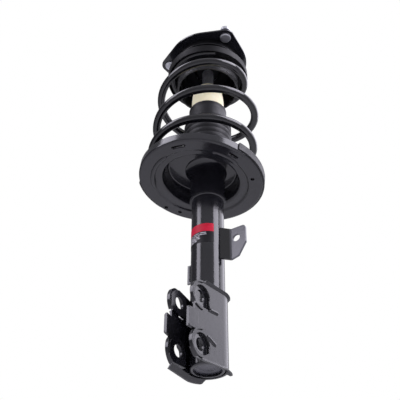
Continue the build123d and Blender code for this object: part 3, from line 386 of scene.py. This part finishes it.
def creamFoam():
    material, tree, coords = startMaterial("cellularPolyurethane")
    cells = addNode(tree, "ShaderNodeTexVoronoi", settings={"feature": "F1"}, links={"Vector": coords},
                    values={"Scale": 1 / (foamSkin["cellSize"] * mm)})
    cloud = addNode(tree, "ShaderNodeTexNoise", links={"Vector": coords},
                    values={"Scale": 1 / (foamSkin["cloudSize"] * mm), "Detail": 4.0})
    tone = addNode(tree, "ShaderNodeValToRGB", links={"Fac": cloud.outputs["Fac"]},
                   stops=zip(noiseSpan, foamSkin["colors"]))
    bump = addNode(tree, "ShaderNodeBump", values={"Strength": 0.25, "Distance": foamSkin["relief"] * mm},
                   links={"Height": cells.outputs["Distance"]})
    shader = addNode(tree, "ShaderNodeBsdfPrincipled",
                     values={"Roughness": foamSkin["rough"], "Subsurface Weight": 0.15,
                             "Subsurface Scale": foamSkin["scatter"] * mm,
                             "Subsurface Radius": (1.0, 0.8, 0.5)},
                     links={"Base Color": tone.outputs["Color"], "Normal": bump.outputs["Normal"]})
    return finishMaterial(material, shader)


makeCamera()
makeSurround()
makeLights()
makeFloor()
print("camera and studio ready")

# dipped electrocoat on the seat, the bracket and the tube: deep black with bright edges
coatGloss = steelCoat("blackElectrocoat", ("#131317", "#1B1B20"), rough=0.16, peel=0.35)
coatGrainy = blastedPlateShadedWeb()
# a duller, satin coat on the pressings at the top
coatSatin = steelCoat("satinElectrocoat", ("#08080A", "#0E0E11"), rough=0.45, peel=0.25, grit=0.3, shine=0.1)
# powder sprayed on the wire and baked: the smoothest and glossiest of the coats
springPaint = steelCoat("springEpoxyPowder", ("#0C0C0F", "#131317"), rough=0.1, peel=0.1, grit=0.04)
# so thin over the tube's closed end that the grey steel shows through
coatThin = steelCoat("thinElectrocoat", ("#2E2E34", "#45454C"), rough=0.3, peel=0.3, grit=0.5)
# the same dip over a weld's lumpy skin, which breaks up its shine
weldMetal = steelCoat("coatedWeldBead", ("#131317", "#1C1C21"), rough=0.14, peel=0.5, grit=0.4, edge=0.3)
# barrel-plated zinc: pale and cloudy, with soft reflections
zinc = brightMetal("zincPlate", ("#AEAFB5", "#CBCCD0"), rough=0.46, grainSize=0.8, strength=0.25)
# hard chrome, its polishing lines running round the rod
chrome = brightMetal("hardChromeRod", ("#C4C6CB", "#DADCE0"),
                     rough=0.3, grainSize=0.5, strength=0.05, stretch=(1, 1, 8), metal=0.7)
# ground races and balls: the sharpest reflections of all the metals
ground = brightMetal("groundBearingSteel", ("#A8AAAF", "#BCBEC3"), rough=0.18, grainSize=0.4, strength=0.08)
# turned steel, darker and lined by the tool
machined = brightMetal("turnedSteel", ("#85868C", "#A0A1A7"),
                       rough=0.36, grainSize=0.5, strength=0.2, stretch=(1, 1, 6))
# pressed and sintered iron: dark, matt and pitted
sintered = brightMetal("sinteredIron", ("#55565B", "#6B6C72"), rough=0.6, grainSize=0.5, strength=0.6)
rubber = mouldedRubber("mouldedRubber", ("#101012", "#19191C"), rough=0.55, grainSize=0.7, strength=0.35)
# from a polished mould, so the collar shines where plain rubber is matt
collarRubber = mouldedRubber("polishedRubber", ("#18181B", "#202024"),
                             rough=0.2, grainSize=0.7, strength=0.1, shine=0.8)
# blown elastomer: thin, evenly black and dull
bootRubber = mouldedRubber("bootElastomer", ("#101013", "#17171A"),
                           rough=0.48, grainSize=0.6, strength=0.3, shine=0.25)
# bronze-filled ribbon: brown and waxy
ptfe = mouldedRubber("filledPtfe", ("#3C362C", "#4A4338"), rough=0.45, grainSize=0.5, strength=0.15)
foam = creamFoam()

finishes = {
    "black_steel": coatGloss, "black_rubber": rubber, "zinc_steel": zinc, "rod_chrome": chrome,
    "bare_steel": machined, "sintered_steel": sintered, "bearing_steel": ground, "ptfe_band": ptfe,
    "cream_foam": foam, "boot_rubber": bootRubber, "label_film": rubber,    # the printed film is made below
}
# nodes whose finish differs from the rest of their slot
ownFinishes = {
    "link_bracket": coatGrainy, "coil_spring": springPaint, "mount_shell": coatSatin,
    "upper_spring_seat": coatSatin, "mount_core": coatSatin, "base_cap": coatThin,
}
for part in record["subparts"]:
    node = nodes[part["node"]]
    node.data.materials.clear()
    node.data.materials.append(ownFinishes.get(part["node"], finishes[part["material_slot"]]))
print("materials ready")

# coil spring: one wire wound on the same path as the solid, with square-cut ends
spring = {
    "wire": 13.5, "coilRadius": 84.5, "topRadius": 63.0, "rise": 239.6, "pitchLow": 67.5, "pitchHigh": 80.0,
    "pitchChange": (1.25, 2.75), "turns": 4.25, "lowerEnd": 213.0, "flatLow": 0.47, "ease": 0.2,
    "drawIn": (2.9, 3.7), "lean": (0.2, 3.2), "seatMiddle": (-6.0, -12.5), "tilt": 6.0, "uphill": 222.0,
    "stepsPerTurn": 72, "rings": 7, "endBevel": 0.9,
    "footTurns": 0.4,    # this much lies on the tilted seat and rides with it, the rest rides with the seat at the top
}


def eased(value, start, end):
    if value <= start:
        return 0.0
    if value >= end:
        return value - (start + end) / 2
    return (value - start) ** 2 / (2 * (end - start))


def softStep(value, start, end):
    share = min(max((value - start) / (end - start), 0.0), 1.0)
    return share * share * (3 - 2 * share)


def coilTop():
    # how high the wire's middle lies at its top end, in millimetres
    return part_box("coil_spring")[1][2] / mm - spring["wire"] / 2


def coilPoint(turn, top):
    low, high, ease = spring["pitchLow"], spring["pitchHigh"], spring["ease"]
    gain = high - low
    flatLow = spring["flatLow"]
    flatTop = (spring["rise"] + low * flatLow + gain * sum(spring["pitchChange"]) / 2) / high
    angle = radians(spring["lowerEnd"]) + 2 * pi * turn
    lean = softStep(turn, *spring["lean"])
    drawn = softStep(turn, *spring["drawIn"])
    radius = spring["coilRadius"] + (spring["topRadius"] - spring["coilRadius"]) * drawn
    x = radius * cos(angle)
    y = radius * sin(angle)
    rise = (low * eased(turn, flatLow - ease, flatLow + ease) + gain * eased(turn, *spring["pitchChange"])
            - high * eased(turn, flatTop - ease, flatTop + ease))
    uphill = radians(spring["uphill"])
    slope = tan(radians(spring["tilt"])) * (1 - lean) * (x * cos(uphill) + y * sin(uphill))
    middle = spring["seatMiddle"]
    return Vector((middle[0] * (1 - lean) + x, middle[1] * (1 - lean) + y,
                   top - spring["rise"] + rise + slope)) * mm


def springStretch(name, path, cutEnd, body):
    bm = sweptTube(name, path, spring["wire"] / 2 * mm, spring["rings"])
    bmesh.ops.remove_doubles(bm, verts=bm.verts, dist=sameSpot)
    # only the wire's own end has its edge broken, not the end that meets the next stretch
    rim = [edge for face in bm.faces
           if len(face.verts) > 4 and (face.calc_center_median() - cutEnd).length < spring["wire"] / 4 * mm
           for edge in face.edges]
    bmesh.ops.bevel(bm, geom=rim, offset=spring["endBevel"] * mm, segments=2, profile=0.5, affect="EDGES",
                    material=-1)
    piece = newPiece(name, bm, springPaint, body, sharpAngle=50)
    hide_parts("coil_spring")
    return piece


def makeSpring():
    top = coilTop()
    count = int(spring["turns"] * spring["stepsPerTurn"])
    split = int(spring["footTurns"] * spring["stepsPerTurn"])
    path = [coilPoint(spring["turns"] * i / count, top) for i in range(count + 1)]
    # each end runs on straight by one wire's thickness
    tail = spring["wire"] * mm
    foot = path[:split + 1]
    coil = path[split:]
    foot.insert(0, foot[0] + (foot[0] - foot[1]).normalized() * tail)
    coil.append(coil[-1] + (coil[-1] - coil[-2]).normalized() * tail)
    springStretch("springFoot", foot, foot[0], "strut")
    piece = springStretch("springWire", coil, coil[-1], "swivel_seat")
    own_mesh(piece)


# bump stop: a moulded barrel of cellular polyurethane
stop = {
    "bore": 10.3, "radius": 28.5, "footInset": 0.6, "footRise": 2.0, "steps": 96,
    # the barrel's side as it draws in: how far inside the radius, and how far below the top
    "side": ((0.0, 33.0), (0.25, 26.0), (1.0, 18.0), (2.2, 9.0), (3.4, 4.0), (4.9, 1.3), (7.5, 0.0)),
}


def makeStop():
    low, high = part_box("bump_stop")
    bottom, top = low[2], high[2]
    bore = stop["bore"] * mm
    radius = stop["radius"] * mm
    foot = [(bore, bottom), (radius - stop["footInset"] * mm, bottom),
            (radius, bottom + stop["footRise"] * mm)]
    side = [(radius - inset * mm, top - depth * mm) for inset, depth in stop["side"]]
    piece = newPiece("bumpStop", spinProfile(foot + side + [(bore, top)], stop["steps"]), foam, "bumper",
                     sharpAngle=60)
    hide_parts("bump_stop")


# dust boot: a plain neck that grips the stop, and bellows that fold below it
boot = {
    "wall": 2.2, "steps": 128,
    "neckHeight": 36.0, "neckRadius": 32.2, "neckFlare": (0.3, 7.0), "neckEnd": 1.5,
    "bead": 0.7, "beadHeight": 2.6, "beadRound": 0.5,
    "lip": 0.8, "shoulder": 5.0, "shoulderInset": 1.3, "shoulderSteps": 8, "innerShoulder": (1.5, 9.0),
    "rootRadius": 39.3, "crest": 1.5, "crestShape": 0.6, "folds": 8, "pointsPerFold": 10,
}


def makeBootNeck(seam, top):
    wall, root, neck = boot["wall"] * mm, boot["rootRadius"] * mm, boot["neckRadius"] * mm
    bead = neck + boot["bead"] * mm
    beadFoot = top - boot["beadHeight"] * mm
    lip = seam + boot["lip"] * mm
    narrow = neck + boot["shoulderInset"] * mm
    rise = boot["shoulder"] * mm
    outer = [(root, seam), (root, lip)]
    for step in range(1, boot["shoulderSteps"] + 1):
        share = step / boot["shoulderSteps"]
        outer.append((root + (narrow - root) * (1 - cos(pi * share)) / 2, lip + rise * share))
    flare, drop = boot["neckFlare"]
    outer += [(neck + flare * mm, beadFoot - drop * mm), (neck, beadFoot - boot["neckEnd"] * mm),
              (bead, beadFoot), (bead, top - boot["beadRound"] * mm), (bead - boot["beadRound"] * mm, top)]
    low, high = boot["innerShoulder"]
    inner = [(neck - wall, top), (neck - wall, seam + high * mm), (root - wall, seam + low * mm),
             (root - wall, seam)]
    piece = newPiece("bootNeck", spinProfile(outer + inner, boot["steps"]), bootRubber, "bumper",
                     sharpAngle=70)
    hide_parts("dust_boot")


def makeBootBellows(bottom, seam):
    pitch = (seam - bottom) / boot["folds"]
    outer = []
    for i in range(boot["folds"] * boot["pointsPerFold"] + 1):
        fold = i / boot["pointsPerFold"]
        wave = 0.5 - 0.5 * cos(2 * pi * fold)
        radius = boot["rootRadius"] + boot["crest"] * wave ** boot["crestShape"]
        outer.append((radius * mm, bottom + pitch * fold))
    inner = [(r - boot["wall"] * mm, z) for r, z in reversed(outer)]
    piece = newPiece("bootBellows", spinProfile(outer + inner, boot["steps"]), bootRubber, "bumper",
                     sharpAngle=70)
    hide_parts("dust_boot")
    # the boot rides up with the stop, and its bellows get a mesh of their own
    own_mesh(piece)


def makeBoot():
    low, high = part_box("dust_boot")
    seam = high[2] - boot["neckHeight"] * mm
    makeBootNeck(seam, high[2])
    makeBootBellows(low[2], seam)


# label: printed film round the front of the tube, with plain bars where print would be
label = {
    "from": 196.0, "to": 324.0,    # degrees round the tube
    "glueHeight": 0.05, "faceHeight": 0.28, "columns": 96, "rows": 68, "inkCloud": 9.0, "relief": 0.1,
    "redShare": 0.42, "barThickness": 0.04,
    # rows of bars by their height up the film: where each bar starts and ends round it, all as shares
    "bars": {
        0.50: ((0.24, 0.38), (0.41, 0.58), (0.61, 0.79)),
        0.41: ((0.24, 0.34), (0.37, 0.52), (0.55, 0.80)),
        0.32: ((0.24, 0.46), (0.49, 0.60)),
        0.23: ((0.24, 0.32), (0.35, 0.51), (0.54, 0.62)),
        0.14: ((0.24, 0.41), (0.44, 0.52)),
    },
    "inks": {"blackFilm": ("#0C0B0E", "#121115"), "redFilm": ("#B0122A", "#C4183A"),
             "paleInk": ("#C4C2C8", "#D8D6DB")},
}


def printedFilm(name, colors):
    # laminated polyester film: even ink under a smooth gloss, slightly uneven where it was pressed on
    material, tree, coords = startMaterial(name)
    cloud = addNode(tree, "ShaderNodeTexNoise", links={"Vector": coords},
                    values={"Scale": 1 / (label["inkCloud"] * mm), "Detail": 3.0})
    tone = addNode(tree, "ShaderNodeValToRGB", links={"Fac": cloud.outputs["Fac"]},
                   stops=zip(noiseSpan, colors))
    bump = addNode(tree, "ShaderNodeBump", values={"Strength": 0.15, "Distance": label["relief"] * mm},
                   links={"Height": cloud.outputs["Fac"]})
    shader = addNode(tree, "ShaderNodeBsdfPrincipled",
                     values={"Roughness": 0.5, "IOR": 1.5, "Specular IOR Level": 0.22},
                     links={"Base Color": tone.outputs["Color"], "Normal": bump.outputs["Normal"]})
    return finishMaterial(material, shader)


def inkAt(across, up):
    if up > 1 - label["redShare"]:
        return "redFilm"
    for height, bars in label["bars"].items():
        inRow = abs(up - height) < label["barThickness"] / 2
        if inRow and any(start < across < end for start, end in bars):
            return "paleInk"
    return "blackFilm"


def makeLabel():
    low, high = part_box("label")
    glue = halfWidth("strut_tube") + label["glueHeight"] * mm
    outside = halfWidth("strut_tube") + label["faceHeight"] * mm
    inkNames = list(label["inks"])
    bm = bmesh.new()
    # printed flat, one unit wide and high, then wrapped round the tube
    bmesh.ops.create_grid(bm, x_segments=label["columns"], y_segments=label["rows"], size=0.5)
    bmesh.ops.translate(bm, verts=bm.verts, vec=(0.5, 0.5, 0))
    for face in bm.faces:
        middle = face.calc_center_median()
        face.material_index = inkNames.index(inkAt(middle.x, middle.y))
    for vert in bm.verts:
        angle = radians(label["from"] + (label["to"] - label["from"]) * vert.co.x)
        vert.co = (outside * cos(angle), outside * sin(angle), low[2] + (high[2] - low[2]) * vert.co.y)
    # the film's cut edge, down to the glue on the tube
    rim = [edge for edge in bm.edges if edge.is_boundary]
    made = bmesh.ops.extrude_edge_only(bm, edges=rim)["geom"]
    bmesh.ops.scale(bm, vec=(glue / outside, glue / outside, 1),
                    verts=[item for item in made if isinstance(item, bmesh.types.BMVert)])
    films = [printedFilm(name, colors) for name, colors in label["inks"].items()]
    piece = newPiece("labelFilm", bm, films[0], "strut", sharpAngle=40)
    for film in films[1:]:
        piece.data.materials.append(film)
    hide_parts("label")


# welds: rippled beads where the seat, the bracket and the hose tab are welded to the tube
weld = {
    "bead": 1.9, "ripple": 0.28, "ripplePitch": 2.4, "endSize": 0.55, "step": 0.6, "rings": 3,
    "offTube": 0.56, "belowHub": 0.6, "tabSide": 2.2, "tabInset": 3.0, "aboveBracket": 0.3, "offBracket": 0.4,
    "bracketSpans": {"Right": (14, 74), "Left": (106, 166)},
}


def weldBead(name, path, closed=False):
    step = (path[1] - path[0]).length
    wave = weld["ripple"] / weld["bead"]
    sizes = [1 + wave * sin(2 * pi * i * step / (weld["ripplePitch"] * mm)) for i in range(len(path))]
    if not closed:
        sizes[0] *= weld["endSize"]
        sizes[-1] *= weld["endSize"]
    bm = sweptTube(name, path, weld["bead"] * mm, weld["rings"], sizes, closed)
    piece = newPiece(name, bm, weldMetal, "strut")


def tubeArc(start, end, z, radius):
    steps = int(radians(abs(end - start)) * radius / (weld["step"] * mm))
    angles = [radians(start + (end - start) * i / steps) for i in range(steps + 1)]
    return [Vector((radius * cos(angle), radius * sin(angle), z)) for angle in angles]


def upright(x, y, low, high):
    steps = int((high - low) / (weld["step"] * mm))
    return [Vector((x, y, low + (high - low) * i / steps)) for i in range(steps + 1)]


def makeWelds():
    radius = halfWidth("strut_tube") + weld["offTube"] * mm
    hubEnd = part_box("lower_spring_seat")[0][2] - weld["belowHub"] * mm
    weldBead("weldHub", tubeArc(0, 360, hubEnd, radius)[:-1], closed=True)
    low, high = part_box("hose_tab")
    middle = (low[1] + high[1]) / 2
    inset = weld["tabInset"] * mm
    for side, y in (("Back", middle + weld["tabSide"] * mm), ("Front", middle - weld["tabSide"] * mm)):
        weldBead("weldTab" + side, upright(-sqrt(radius ** 2 - y ** 2), y, low[2] + inset, high[2] - inset))
    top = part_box("knuckle_bracket")[1][2] + weld["aboveBracket"] * mm
    for side, span in weld["bracketSpans"].items():
        weldBead("weldBracket" + side, tubeArc(*span, top, radius + weld["offBracket"] * mm))


# nuts run part of the way down the studs, as they are shipped
studNut = {"flats": 16.0, "height": 8.0, "edge": 0.6, "flange": 20.0, "flangeHeight": 1.6, "flangeSlope": 0.8,
           "flangeEdge": 0.3, "foot": 12.0, "count": 3, "first": 90.0}


def nutShape():
    corner = studNut["flats"] / sqrt(3) * mm
    flange = studNut["flange"] / 2 * mm
    bm = bmesh.new()
    bmesh.ops.create_cone(bm, cap_ends=True, segments=6, radius1=corner, radius2=corner,
                          depth=studNut["height"] * mm)
    bmesh.ops.bevel(bm, geom=list(bm.edges), offset=studNut["edge"] * mm, segments=3, profile=0.5,
                    affect="EDGES", material=-1)
    bmesh.ops.translate(bm, verts=bm.verts, vec=(0, 0, studNut["height"] / 2 * mm))
    made = bmesh.ops.create_cone(bm, cap_ends=True, segments=64, radius1=flange,
                                 radius2=flange - studNut["flangeSlope"] * mm,
                                 depth=studNut["flangeHeight"] * mm)
    flangeVerts = set(made["verts"])
    rims = [edge for edge in bm.edges if flangeVerts.issuperset(edge.verts)
            and abs(edge.verts[0].co.z - edge.verts[1].co.z) < sameSpot]
    bmesh.ops.bevel(bm, geom=rims, offset=studNut["flangeEdge"] * mm, segments=2, profile=0.5,
                    affect="EDGES", material=-1)
    return bm


def makeStudNuts():
    circle = next(m for m in record["mounts"] if m["name"] == "top_studs")["dims"]["pcd_mm"] / 2 * mm
    for i in range(studNut["count"]):
        angle = radians(studNut["first"] + 360 * i / studNut["count"])
        bm = nutShape()
        bmesh.ops.translate(bm, verts=bm.verts,
                            vec=(circle * cos(angle), circle * sin(angle), studNut["foot"] * mm))
        piece = newPiece("studNut" + str(i + 1), bm, zinc, "top_mount", sharpAngle=35)


# rolled edges and fine moulded rings on the pieces at the top: how far each lies inside its node's
# widest radius, and its heights above the node's foot
fineRings = {
    "collarRing": {"node": "upper_isolator", "inset": 16.8, "heights": (2.2, 4.8, 7.4), "thickness": 1.4},
    "collarLip": {"node": "upper_isolator", "inset": 17.5, "heights": (0.1,), "thickness": 1.2},
    "collarBead": {"node": "upper_isolator", "inset": 18.9, "heights": (0.2, 2.6), "thickness": 1.1},
    "skirtRoll": {"node": "upper_spring_seat", "inset": 0.9, "heights": (0.7,), "thickness": 1.8},
    "shellRoll": {"node": "mount_shell", "inset": 1.0, "heights": (0.7, 9.0), "thickness": 1.6},
}
ringSteps = {"section": 12, "turn": 144}
# the body, finish and slot of the rings on each node
ringHomes = {
    "upper_isolator": ("swivel_seat", collarRubber, "black_rubber"),
    "upper_spring_seat": ("swivel_seat", coatGloss, "black_steel"),
    "mount_shell": ("top_mount", coatGloss, "black_steel"),
}


def makeFineRings():
    for name, ring in fineRings.items():
        body, finish, slot = ringHomes[ring["node"]]
        middle = halfWidth(ring["node"]) - ring["inset"] * mm
        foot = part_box(ring["node"])[0][2]
        radius = ring["thickness"] / 2 * mm
        angles = [2 * pi * k / ringSteps["section"] for k in range(ringSteps["section"])]
        for number, height in enumerate(ring["heights"], start=1):
            points = [(middle + radius * cos(a), foot + height * mm + radius * sin(a)) for a in angles]
            piece = newPiece(name + str(number), spinProfile(points, ringSteps["turn"]), finish, body)


# pressed beads under the lower seat, along the bend between its two lands
seatBead = {
    "radius": 78.5, "width": 7.5, "drop": 3.4, "sink": 1.0, "spans": ((196, 262), (316, 352)),
    "degreesPerStep": 2.0, "rings": 8, "endShape": 6, "endSize": 0.02,
    "layers": (0.3, 4.0, 3.0),    # from the wire down: its gap, the rubber pad and the seat's plate
}


def makeSeatBeads():
    slope, uphill = radians(spring["tilt"]), radians(spring["uphill"])
    normal = Vector((-sin(slope) * cos(uphill), -sin(slope) * sin(uphill), cos(slope)))
    tilt = zAxis.rotation_difference(normal).to_matrix()
    underside = coilTop() - spring["rise"] - spring["wire"] / 2 - sum(seatBead["layers"])
    seatMiddle = Vector((*spring["seatMiddle"], underside)) * mm
    for number, (start, end) in enumerate(seatBead["spans"], start=1):
        steps = int((end - start) / seatBead["degreesPerStep"])
        angles = [radians(start + (end - start) * i / steps) for i in range(steps + 1)]
        path = [Vector((cos(angle), sin(angle), 0)) * seatBead["radius"] * mm for angle in angles]
        sizes = [min(1.0, sqrt(1 - abs(2 * i / steps - 1) ** seatBead["endShape"]) + seatBead["endSize"])
                 for i in range(steps + 1)]
        # a tapered tube, pressed a little flatter, of which only the lower half shows under the plate
        bm = sweptTube("seatBead", path, seatBead["width"] / 2 * mm, seatBead["rings"], sizes)
        bmesh.ops.scale(bm, vec=(1, 1, 2 * seatBead["drop"] / seatBead["width"]), verts=bm.verts)
        bmesh.ops.bisect_plane(bm, geom=bm.verts[:] + bm.edges[:] + bm.faces[:], plane_co=(0, 0, 0),
                               plane_no=zAxis, clear_outer=True)
        bmesh.ops.holes_fill(bm, edges=[edge for edge in bm.edges if edge.is_boundary])
        bmesh.ops.translate(bm, verts=bm.verts, vec=(0, 0, seatBead["sink"] * mm))
        bmesh.ops.rotate(bm, verts=bm.verts, cent=(0, 0, 0), matrix=tilt)
        bmesh.ops.translate(bm, verts=bm.verts, vec=seatMiddle)
        piece = newPiece("seatBead" + str(number), bm, coatGloss, "strut")


makeSpring()
makeStop()
makeBoot()
print("spring, stop and boot made")
makeLabel()
print("label made")
makeWelds()
makeStudNuts()
makeFineRings()
makeSeatBeads()
print("welds, nuts, rings and beads made")

bpy.context.scene.view_settings.view_transform = "Standard"
